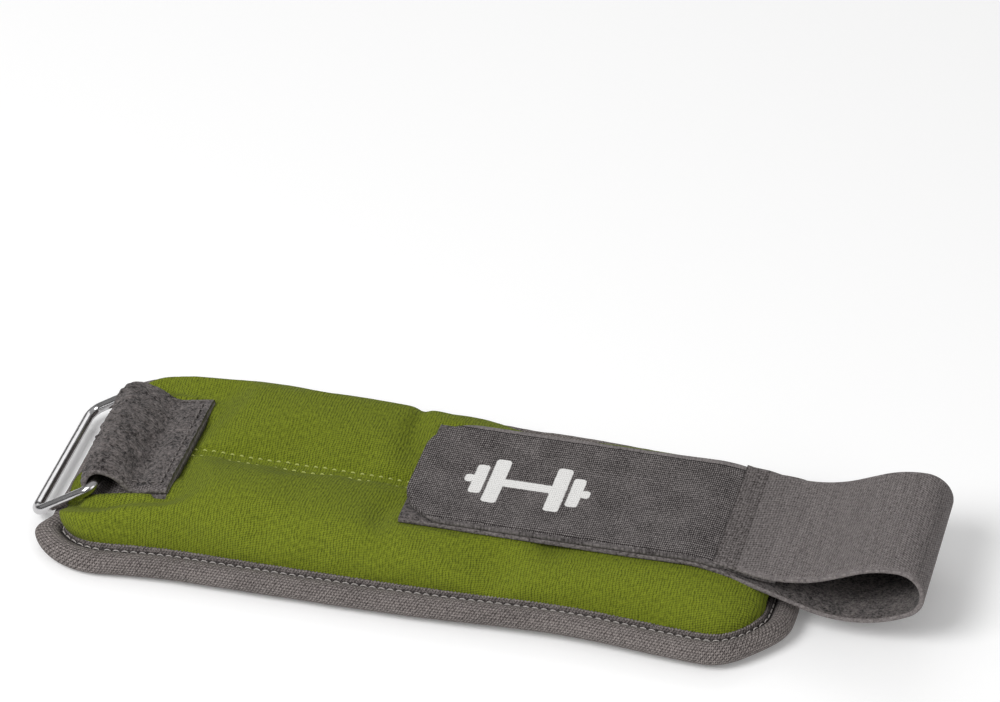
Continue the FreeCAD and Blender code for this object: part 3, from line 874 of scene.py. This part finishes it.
def build_binding():
    stations = outline_stations()
    profile = binding_profile()
    line = np.array([outline_point(s, STITCH_INSET) for s in stations])
    steps = np.linalg.norm(np.roll(line, -1, 0) - line, axis=1)
    length = steps.sum()
    pitch = length / round(length / STITCH_PITCH)
    along = np.concatenate([[0], np.cumsum(steps)])[:-1]
    around = np.zeros(len(profile))
    for i in range(1, len(profile)):
        around[i] = around[i - 1] + math.dist(profile[i][:2], profile[i - 1][:2])
    around += CREASE_V - around[9]
    spots = np.stack([line[:, 0], line[:, 1], 0 * along], 1)
    plump = 0.22 * wobble(spots, 0.09, 4.0) + 0.1 * wobble(spots, 0.3, 9.0)
    ragged = 0.3 * wobble(spots, 0.75, 14.0) + 0.16 * np.sin(2 * math.pi * along / 1.35)
    pull = 0.5 + 0.5 * np.cos(2 * math.pi * (along / pitch - 0.5))
    lip_ribs = np.sin(2 * math.pi * along / 1.1)
    verts, uvs = [], []
    for i, station in enumerate(stations):
        for j, (inset, z, pucker) in enumerate(profile):
            swell = plump[i] * (1 - pucker) * (1 if inset < STITCH_INSET else 0)
            inset_here = inset - 0.5 * swell + (ragged[i] if inset > 8.5 else 0)
            x, y = outline_point(station, inset_here)
            side = 1 if z > BINDING_HEIGHT / 2 else -1
            ribs = 0.2 * lip_ribs[i] * (inset > STITCH_INSET and side > 0)
            drop = side * 0.35 * pucker * pull[i] - (swell if side > 0 and inset < STITCH_INSET else 0)
            verts.append((x, y, max(z - drop + ribs, 0.0)))
            uvs.append((along[i], around[j]))
    rows, columns = len(stations), len(profile)
    verts = verts + verts[:columns]
    uvs = uvs + [(length, v) for _, v in uvs[:columns]]
    sheet = Sheet(drawn_in(verts), grid_faces(rows + 1, columns), uvs)
    hang("binding", sheet, [BINDING], "edge_binding_{}".format)
    threads = []
    for height, up in ((5.55, 1), (1.6, -1)):
        loop = drawn_in([(x, y, height) for x, y in [*line, line[0]]])
        threads.append(stitch_row(loop, (0, 0, up), pitch, 1.9, 0.2, rise=0.05))
    hang("binding_stitches", threads[0].plus(threads[1]), [GREY_THREAD])


# ---- stitches
def stitch_row(points, up, pitch, dash, radius, rise=0.16):
    """Dashes of thread along a line of points. Both ends of each dash dive under the cloth."""
    points = np.array(points, float)
    along = np.concatenate([[0], np.cumsum(np.linalg.norm(np.diff(points, axis=0), axis=1))])

    def place(distance):
        return np.array([np.interp(distance, along, axis) for axis in points.T])

    rings, sides = 7, 6
    verts, uvs, faces = [], [], []
    for number in range(int(along[-1] / pitch + 0.5)):
        base = len(verts)
        for t in np.linspace(-1, 1, rings):
            at = np.clip((number + 0.5) * pitch + t * dash / 2, 0, along[-1])
            tangent = place(at + 0.2) - place(at - 0.2)
            tangent /= max(np.linalg.norm(tangent), 1e-9)
            side = np.cross(tangent, up)
            side /= max(np.linalg.norm(side), 1e-9)
            normal = np.cross(side, tangent)
            lift = rise - (rise + 1.5 * radius) * abs(t) ** 3
            thick = radius * (1 - 0.25 * t * t)
            for angle in np.arange(sides) * 2 * math.pi / sides:
                offset = side * math.cos(angle) * thick + normal * (math.sin(angle) * thick + lift)
                verts.append(place(at) + offset)
                uvs.append((at, angle / (2 * math.pi)))
        faces.append(grid_faces(rings, sides, closed=True) + base)
        for first in (base, base + (rings - 1) * sides):
            faces.append(np.array([[0, 1, 2, 3], [0, 3, 4, 5]]) + first)
    return Sheet(verts, np.vstack(faces), uvs)


def on_cover(grid, x, y):
    """Height of the outer cover over (x, y), from its grid."""
    columns = grid[:, grid.shape[1] // 2, 0]
    i = int(np.clip(np.searchsorted(columns, x), 1, len(columns) - 1))
    t = (x - columns[i - 1]) / (columns[i] - columns[i - 1])
    row = grid[i - 1] * (1 - t) + grid[i] * t
    return float(np.interp(y, row[:, 1], row[:, 2]))


def build_seam_stitches(grid):
    """Two rows of green thread along the centre seam, outside and inside."""
    reach, off_centre, inside_z = 97.0, 1.6, 1.4

    def rows(height, up, rise):
        lines = []
        for y in (-off_centre, off_centre):
            points = [(x, y, height(x, y)) for x in np.arange(-reach, reach, 1.1)]
            lines.append(stitch_row(points, (0, 0, up), 2.9, 1.5, 0.24, rise))
        return lines[0].plus(lines[1])

    outside = rows(lambda x, y: on_cover(grid, x, y), 1, 0.2)
    hang("seam_stitches", outside, [GREEN_THREAD])
    inside = rows(lambda x, y: inside_z, -1, 0.1)
    hang("seam_stitches_inside", inside, [GREEN_THREAD])


# ---- ribbons
def trace(start, heading, moves, step=0.55):
    """Rows of (x, z, heading, distance) along ("line", length) and ("arc", radius, turn in degrees) moves."""
    x, z = start
    rows = [(x, z, math.radians(heading), 0.0)]
    gone = 0.0
    for move in moves:
        a = math.radians(heading)
        if move[0] == "line":
            count = max(1, round(move[1] / step))
            for i in range(1, count + 1):
                d = move[1] * i / count
                rows.append((x + d * math.cos(a), z + d * math.sin(a), a, gone + d))
            gone += move[1]
        else:
            radius, turn = move[1], math.radians(move[2])
            side = 1 if turn > 0 else -1
            centre = (x - side * radius * math.sin(a), z + side * radius * math.cos(a))
            count = max(2, round(radius * abs(turn) / step))
            for i in range(1, count + 1):
                b = a + turn * i / count
                px = centre[0] + side * radius * math.sin(b)
                pz = centre[1] - side * radius * math.cos(b)
                rows.append((px, pz, b, gone + radius * abs(turn) * i / count))
            gone += radius * abs(turn)
            heading += move[2]
        x, z = rows[-1][0], rows[-1][1]
    return np.array(rows)


def strap_sag(x, y):
    """How far the strap dips between the two filled channels, and droops past them at its edges."""
    inside = np.clip(1 - (np.abs(y) / 20.0) ** 2, 0, 1)
    outside = np.clip(np.abs(y) - 21.0, 0, 5) ** 2 / 40
    dip = 0.75 * inside * ease(x, STRAP_START - 4, STRAP_START + 10)
    return -(dip + outside) * (1 - ease(x, 62, 82))


def ribbon(rows, half, thickness, lift=None, kinds=(0, 1), u_of=None, across=41, press=1.0):
    """A closed strip of webbing along traced rows.

    half is a number or one half width for each row. kinds are the materials of the left side of the path and
    of the right side with the edges. lift(x, y) is added to the height of every point. press, one number or
    one for each row, thins the strip towards its left side.
    """
    half = np.broadcast_to(np.asarray(half, float), (len(rows),))
    press = np.broadcast_to(np.asarray(press, float), (len(rows),))
    t = thickness / 2
    share = np.linspace(-1, 1, across)
    round_off = ((0.25, 0.8), (0.55, 0.0), (0.25, -0.8))
    verts, uvs = [], []
    for (x, z, heading, distance), w, k in zip(rows, half, press):
        ring = [(s * (w - t * 0.7), t) for s in share]
        ring += [(w - t * 0.7 + t * out, t * up) for out, up in round_off]
        ring += [(s * (w - t * 0.7), -t) for s in share[::-1]]
        ring += [(-(w - t * 0.7 + t * out), -t * up) for out, up in round_off]
        u = distance if u_of is None else u_of(distance)
        for y, off in ring:
            off = t + (off - t) * k
            verts.append((x - off * math.sin(heading), y, z + off * math.cos(heading)))
            on_edge = abs(y) - w + t * 0.7 > 0
            uvs.append((u, y + math.copysign(t - off, y) if on_edge else y))
    verts = np.array(verts)
    if lift is not None:
        verts[:, 2] += lift(verts[:, 0], verts[:, 1])
    columns = len(ring)
    side = np.full(columns, kinds[1])
    side[: across - 1] = kinds[0]
    caps = []
    for first in (0, (len(rows) - 1) * columns):
        for i in range(across - 1):
            back = 2 * across + 2 - i
            caps.append((first + i, first + i + 1, first + back - 1, first + back))
    faces = np.vstack([grid_faces(len(rows), columns, closed=True), caps])
    kinds = np.concatenate([np.tile(side, len(rows) - 1), np.full(len(caps), kinds[1])])
    return Sheet(verts, faces, uvs, kinds)


def strap_moves():
    """The loop strap's path from the last hinge line, as lists of moves: lower run, three links, return."""
    slope, drop, rise = 18.0, 40.0, 37.0
    a, b = math.radians(slope), math.radians(FOLD_ENTRY)
    goal_x = FOLD_X + FOLD_RADIUS * math.sin(b)
    goal_z = FOLD_Z - FOLD_RADIUS * math.cos(b)
    fall = STRAP_Z - goal_z - drop * (1 - math.cos(a)) + rise * (math.cos(a) - math.cos(b))
    length = fall / math.sin(a)
    run = drop * math.sin(a) + length * math.cos(a) + rise * (math.sin(a) + math.sin(b))
    level = goal_x - run
    first = FOLD_STEP / 2
    lower = [("line", level - PILE_START), ("arc", drop, -slope), ("line", length)]
    lower.append(("arc", rise, slope + first))
    links = [
        [("arc", rise, FOLD_ENTRY - first), ("arc", FOLD_RADIUS, first + FOLD_STEP - FOLD_ENTRY)],
        [("arc", FOLD_RADIUS, FOLD_STEP)],
        [("arc", FOLD_RADIUS, FOLD_STEP)],
    ]
    slope, over, under = 24.0, 30.0, 40.0
    c = math.radians(slope)
    step = STRAP_THICKNESS + 0.05
    rest = LAP_RADIUS - step
    top, low = FOLD_Z + FOLD_RADIUS, LAP_START[1] + step
    length = (top - low - (over + under) * (1 - math.cos(c))) / math.sin(c)
    run = (over + under) * math.sin(c) + length * math.cos(c)
    back = [
        ("arc", FOLD_RADIUS, first),
        ("line", FOLD_X - LAP_START[0] - run),
        ("arc", over, slope),
        ("line", length),
        ("arc", under, -slope),
        ("arc", rest, -LAP_TILT),
        ("line", LAP_LENGTH - rest * math.sin(math.radians(LAP_TILT))),
    ]
    return lower, links, back


def lap_moves():
    """The hook tape's path from under the webbing to the last hinge line, and where it starts."""
    length, level = 8.0, 3.0
    tilt = math.radians(LAP_TILT)
    run = 2 * LAP_RADIUS * math.sin(tilt) + length * math.cos(tilt) + level
    drop = 2 * LAP_RADIUS * (1 - math.cos(tilt)) + length * math.sin(tilt)
    moves = [("arc", LAP_RADIUS, -LAP_TILT), ("line", length), ("arc", LAP_RADIUS, LAP_TILT), ("line", level)]
    return moves, (BENDS[-1] + 0.05 + run, HOOK_Z - drop)


def tab_moves():
    """The ring tab's path as in the frame: up from its sewn end, round the ring's bar and back."""
    dip, tight, gap = 50.0, 4.0, 0.15
    a, b = math.radians(TAB_SLOPE), math.radians(dip)
    lower = [("line", TAB_LENGTH), ("arc", 12.0, -TAB_SLOPE), ("arc", TAB_LOOP, -180.0), ("arc", 8.0, -dip)]
    loop_top = box_mm("ring_tab")[1][2] - STRAP_THICKNESS / 2
    base = trace((TAB_END, 0.0), 180.0 + TAB_SLOPE, lower)
    start_z = loop_top - base[:, 1].max()
    start = (TAB_END, start_z)
    x, z = base[-1, 0], base[-1, 1] + start_z
    layer = (STRAP_THICKNESS + gap) / math.cos(a)
    turn_x = tight * (math.sin(a) + math.sin(b))
    turn_z = tight * (math.cos(b) - math.cos(a))
    goal = start[1] + layer + math.tan(a) * (x + turn_x - start[0])
    length = (z + turn_z - goal) / (math.sin(b) + math.tan(a) * math.cos(b))
    reached = x + length * math.cos(b) + turn_x
    upper = [("line", length), ("arc", tight, dip + TAB_SLOPE), ("line", (start[0] - reached) / math.cos(a))]
    return start, lower, upper


LAP, LAP_START = lap_moves()
TAB_START, TAB_LOWER, TAB_UPPER = tab_moves()


def with_cuts(rows):
    """Adds a row wherever the path crosses a cut, so that pieces part exactly there."""
    out = [rows[0]]
    for a, b in zip(rows, rows[1:]):
        for cut_x in [s * c for c in ZONE_ENDS for s in (-1, 1)]:
            share = (cut_x - a[0]) / (b[0] - a[0]) if b[0] != a[0] else -1
            if 1e-6 < share < 1 - 1e-6:
                out.append(a + (b - a) * share)
        out.append(b)
    return np.array(out)


def path_length(moves):
    return sum(m[1] if m[0] == "line" else m[1] * math.radians(abs(m[2])) for m in moves)


def build_strap():
    """The loop strap: sewn run, free lower run, turn, and return to the hook tape, loop pile inside."""
    lower, links, back = strap_moves()
    whole = with_cuts(trace((PILE_START, STRAP_Z), 0.0, lower + sum(links, []) + back, step=0.5))
    total = whole[-1, 3]
    ends = np.cumsum([path_length(moves) for moves in [lower] + links])
    marks = [ends[0] - 5.0, *(ends[:-1] + ends[1:]) / 2, ends[3] + 5.0]

    def row_at(distance):
        return np.array([np.interp(distance, whole[:, 3], column) for column in whole.T])

    def between(low, high):
        """Rows of the path from low to high, with exact ends."""
        inside = whole[(whole[:, 3] > low + 1e-6) & (whole[:, 3] < high - 1e-6)]
        return np.vstack([row_at(low), inside, row_at(high)])

    def place(distance):
        x, z = row_at(distance)[:2] * MM
        return x, 0, z

    def strip(low, high, lift=None, u_of=lambda d: STRAP_START + d, press=1.0):
        return ribbon(between(low, high), STRAP_HALF, STRAP_THICKNESS, lift, u_of=u_of, press=press)

    materials = [PILE, WEBBING]
    hang("loop_strap_run", strip(0, marks[0], strap_sag), materials, "loop_strap_{}".format)
    # Each piece of the turn reaches from the middle of one link to the middle of the next.
    for i in range(4):
        piece = strip(marks[i], marks[i + 1]).make(f"strap_turn_{i + 1}", materials)
        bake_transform(piece)
        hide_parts(f"strap_fold_{min(i + 1, 3)}")
    press = 1 - 0.6 * ease(between(marks[-1], total)[:, 3], total - 8, total - 1)
    last = strip(marks[-1], total, u_of=lambda d: WEBBING_END + (total - d), press=press)
    hang_rigid("strap_back", last, materials, "return_4", "strap_return")


def build_hook_tape():
    """Hook tape from under the webbing to its rounded free tip."""
    flat = BENDS[-1] + 0.05 - TAPE_TIP
    rows = with_cuts(trace(LAP_START, 180.0, LAP + [("line", flat)]))
    tip = TAPE_TIP + TIP_RADIUS * (1 - np.cos(np.linspace(0, math.pi / 2, 16)))[:-1]
    more = np.array([(x, HOOK_Z, math.pi, rows[-1, 3] - (x - TAPE_TIP)) for x in tip])
    rows = np.vstack([rows[rows[:, 0] > TAPE_TIP + TIP_RADIUS], more[::-1]])
    into = np.clip(TAPE_TIP + TIP_RADIUS - rows[:, 0], 0, TIP_RADIUS)
    half = STRAP_HALF - TIP_RADIUS + np.sqrt(TIP_RADIUS**2 - into**2)
    half = half - 0.9 * ease(rows[:, 0], WEBBING_END + 0.5, WEBBING_END + 3)
    total = rows[-1, 3]

    def lift(x, y):
        curl = 0.35 * ease(-x, -10, 8)
        return strap_sag(x, y) + curl

    sheet = ribbon(rows, half, STRAP_THICKNESS, lift, kinds=(1, 0), u_of=lambda d: TAPE_TIP + total - d)
    nodes = {f"return_{i}": f"hook_tape_right_{i}" for i in (1, 2, 3)}
    nodes.update({"return_tip": "hook_tape_tip", "return_4": "hook_tape_lap"})
    bodies = {f"right_{i}": f"return_{i}" for i in (1, 2, 3, 4)}
    bodies.update({"centre": "return_tip", "left_1": "return_tip"})
    zones = [z for z in ZONES if z[0] >= 0 and z[3] != "left_1"] + [(0.0, -1000.0, "centre", None)]
    hang("hook_tape_run", sheet, [HOOK_TAPE, PILE], nodes.get, zones, bodies)


def build_tab():
    """Ring tab: loop webbing folded round the ring's bar, two layers sewn down on the cuff."""
    rows = with_cuts(trace(TAB_START, 180.0 + TAB_SLOPE, TAB_LOWER + TAB_UPPER, step=0.45))
    along, total = rows[:, 3], rows[-1, 3]
    across = 111
    half = STRAP_HALF - 0.9 * np.clip((along / total - 0.45) / 0.1, 0, 1)
    sheet = ribbon(rows, half, STRAP_THICKNESS, tab_droop, across=across)
    points = sheet.verts
    columns = len(points) // len(rows)

    # The nap stands off the outer side, less at the edges, in the valley behind the roll and near the start.
    nap = 0.5 + 0.35 * wobble(points, 1.1, 2.0)
    nap += 0.3 * wobble(points, 0.5, 4.0) + 0.3 * wobble(points, 0.16, 6.0)
    inside = 1 - np.exp(-np.clip(STRAP_HALF - 1.2 - np.abs(points[:, 1]), 0, 9) / 1.2)
    valley = total - TAB_UPPER[-1][1]
    started = ease(along, TAB_LENGTH - 4, TAB_LENGTH + 2)
    deep = 1 + 0.9 * np.sin(np.clip((along - TAB_LENGTH) / 22, 0, 1) * math.pi)
    behind_roll = 1 - 0.95 * bell(along, valley, 1.7)
    outer = np.tile(np.arange(columns) < across, len(rows))
    thick = nap * inside * outer * np.repeat(started * deep * behind_roll, columns)
    heading = np.repeat(rows[:, 2], columns)
    points[:, 0] -= thick * np.sin(heading)
    points[:, 2] += thick * np.cos(heading)

    # The roll is skewed: its near end reaches less far towards the ring.
    points[:, 1] -= 0.9 * ease(-points[:, 1], 0, STRAP_HALF)
    points[:, 0] -= 0.05 * ease(-points[:, 0], 84, 94) * (points[:, 1] + STRAP_HALF)
    bare = sheet.kinds[: (len(rows) - 1) * columns].reshape(-1, columns)
    bare[along[1:] > valley - 6, :4] = 1
    hang("ring_tab_cloth", sheet, [PILE, WEBBING], "ring_tab".format)

    # One row of stitches along the three sewn sides.
    surface = STRAP_THICKNESS / 2 + 0.85
    inset = STRAP_HALF - 3.4
    top = [(x, z + surface) for x, z in rows[along > total - TAB_LENGTH + 3][:, :2] if x < TAB_END - 2.4]
    line = [(x, -inset, z) for x, z in top]
    line += [(top[-1][0], y, top[-1][1]) for y in np.linspace(-inset, inset, 60)[1:-1]]
    line += [(x, inset, z) for x, z in top[::-1]]
    line = [(x, y, z + float(tab_droop(x, y))) for x, y, z in line]
    hang("ring_tab_stitches", stitch_row(line, (0, 0, 1), 2.9, 1.9, 0.26), [DARK_THREAD])


# ---- ring
def build_ring():
    """The wire ring: swept round a rounded rectangle, with a weld bead on the bar inside the tab."""
    low, high = box_mm("tab_ring")
    wire = 1.6
    half = high[1] - wire
    end_x, end_z = low[0] + wire, low[2] + wire
    depth = math.hypot(RING_X - end_x, RING_Z - end_z)
    droop = math.atan2(RING_Z - end_z, RING_X - end_x) + math.radians(RING_SLACK)
    along = np.array([-math.cos(droop), -math.sin(droop)])
    corner = 4.0
    centres = (
        (half - corner, corner, 0),
        (half - corner, depth - corner, 90),
        (-half + corner, depth - corner, 180),
        (-half + corner, corner, 270),
    )
    path = []
    for y, reach, start in centres:
        for a in np.radians(np.linspace(start, start + 90, 14)):
            path.append((y + corner * math.sin(a), reach - corner * math.cos(a)))
    path = np.array(path + path[:1])
    dense = []
    for p, q in zip(path, path[1:]):
        count = max(1, int(np.linalg.norm(q - p) / 1.0))
        dense += [p + (q - p) * i / count for i in range(count)]
    dense = np.array(dense)
    n = len(dense)
    verts, uvs = [], []
    sides = 24
    distance = 0.0
    for i in range(n + 1):
        p, q, r = dense[(i - 1) % n], dense[i % n], dense[(i + 1) % n]
        tangent = (r - p) / np.linalg.norm(r - p)
        outward = np.array([tangent[1], -tangent[0]])
        weld = 0.35 * math.exp(-((q[0] - 6) ** 2) / 1.6) * (q[1] < 1)
        radius = wire * (1 + weld)
        distance += np.linalg.norm(q - p) if i else 0
        for k in range(sides):
            a = 2 * math.pi * k / sides
            y, reach = q + outward * radius * math.cos(a)
            up = radius * math.sin(a)
            x = RING_X + along[0] * reach - along[1] * up
            z = RING_Z + along[1] * reach + along[0] * up
            verts.append((x, y, z))
            uvs.append((distance, k / sides * 10))
    sheet = Sheet(verts, grid_faces(n + 1, sides, closed=True), uvs)
    hang_rigid("ring_wire", sheet, [STEEL], "ring", "tab_ring")


# ---- build
front = build_front()
build_back()
build_binding()
build_seam_stitches(front)
build_strap()
build_hook_tape()
build_tab()
build_ring()
for name, node in frame["nodes"].items():
    if name.startswith("sand_pouches"):
        node.data.materials.clear()
        node.data.materials.append(POUCH)


# ---- stage, light and camera
def build_floor():
    """A pale floor just under the cuff in every pose: it follows the lowest of some marks on the bodies."""
    look = Look("pale_floor")
    material = look.finish(linear((246, 246, 246)), roughness=0.7, specular=0.1)
    look.surface.inputs["Emission Color"].default_value = (1, 1, 1, 1)
    look.surface.inputs["Emission Strength"].default_value = 0.12
    corners = [(-4000, -4000, 0), (4000, -4000, 0), (4000, 4000, 0), (-4000, 4000, 0)]
    floor = Sheet(corners, [[0, 1, 2, 3]], [(0, 0)] * 4).make("floor", [material])
    marks = [("centre", 0.0, -0.2)]
    for number, bend in enumerate(BENDS, 1):
        for side, name in ((1, "right"), (-1, "left")):
            marks.append((f"{name}_{number}", side * (bend + 11), CREST + 5))
    marks += [("left_4", -HALF_LENGTH - 1, 3.5), ("right_4", HALF_LENGTH + 1, 3.5)]
    marks += [("return_4", FOLD_X - 10, FOLD_Z + 12), ("fold_2", FOLD_X + 10, FOLD_Z)]
    marks.append(("fold_1", FOLD_X, 11.0))
    driver = floor.driver_add("location", 2).driver
    driver.type = "MIN"
    for number, (body, x, z) in enumerate(marks):
        mark = bpy.data.objects.new(f"floor_mark_{number}", None)
        bpy.context.scene.collection.objects.link(mark)
        mark.location = (x * MM, 0, z * MM)
        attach(mark, body)
        follow = driver.variables.new()
        follow.type = "TRANSFORMS"
        follow.targets[0].id = mark
        follow.targets[0].transform_type = "LOC_Z"
        follow.targets[0].transform_space = "WORLD_SPACE"


def aimed(name, data, place, aim):
    """An object for a lamp or a camera at place, looking at aim."""
    obj = bpy.data.objects.new(name, data)
    bpy.context.scene.collection.objects.link(obj)
    obj.location = place
    obj.rotation_mode = "QUATERNION"
    obj.rotation_quaternion = (Vector(aim) - Vector(place)).to_track_quat("-Z", "Y")
    return obj


def area_light(name, place, width, height, power):
    lamp = bpy.data.lights.new(name, "AREA")
    lamp.shape = "RECTANGLE"
    lamp.size = width
    lamp.size_y = height
    lamp.energy = power
    aimed(name, lamp, place, (0, 0, 0))


def build_world():
    """White to the camera. To all else bright overhead and dim at the horizon, with a few soft bands."""
    world = bpy.data.worlds.new("studio")
    bpy.context.scene.world = world
    world.use_nodes = True
    tree = world.node_tree
    kinds = ("TexCoord", "SeparateXYZ", "ValToRGB", "Background", "LightPath", "MixShader")
    node = {kind: tree.nodes.new("ShaderNode" + kind) for kind in kinds}
    studio, white = tree.nodes["Background"], node["Background"]
    studio.inputs[1].default_value = 0.8
    white.inputs[0].default_value = (1, 1, 1, 1)
    steps = ((0.0, 0.16), (0.22, 0.12), (0.34, 0.5), (0.46, 0.2), (0.62, 0.5), (1.0, 0.62))
    elements = node["ValToRGB"].color_ramp.elements
    elements.remove(elements[1])
    for number, (place, value) in enumerate(steps):
        element = elements.new(place) if number else elements[0]
        element.position = place
        element.color = (value, value, value, 1)
    for source, target in (
        (node["TexCoord"].outputs["Generated"], node["SeparateXYZ"].inputs[0]),
        (node["SeparateXYZ"].outputs[2], node["ValToRGB"].inputs[0]),
        (node["ValToRGB"].outputs[0], studio.inputs[0]),
        (node["LightPath"].outputs["Is Camera Ray"], node["MixShader"].inputs[0]),
        (studio.outputs[0], node["MixShader"].inputs[1]),
        (white.outputs[0], node["MixShader"].inputs[2]),
        (node["MixShader"].outputs[0], tree.nodes["World Output"].inputs[0]),
    ):
        tree.links.new(source, target)


def build_camera():
    """From the front, a little to the right, looking down at about 34 degrees."""
    azimuth, elevation = math.radians(14.31), math.radians(34.29)
    distance, target = 1.466, Vector((-0.0015, 0.0815, 0.010))
    level = math.cos(elevation)
    back = Vector((math.sin(azimuth) * level, -math.cos(azimuth) * level, math.sin(elevation)))
    camera = bpy.data.cameras.new("camera")
    camera.lens = 169.1
    camera.sensor_width = 36.0
    camera.clip_end = 20
    bpy.context.scene.camera = aimed("camera", camera, target + back * distance, target)


build_floor()
build_world()
area_light("key", (-0.65, -0.95, 1.2), 0.8, 0.8, 20)
area_light("fill", (1.0, -0.8, 0.7), 0.7, 0.7, 3)
area_light("back", (-0.3, 1.1, 1.0), 1.2, 0.6, 3)
build_camera()
bpy.context.scene.view_settings.view_transform = "Standard"
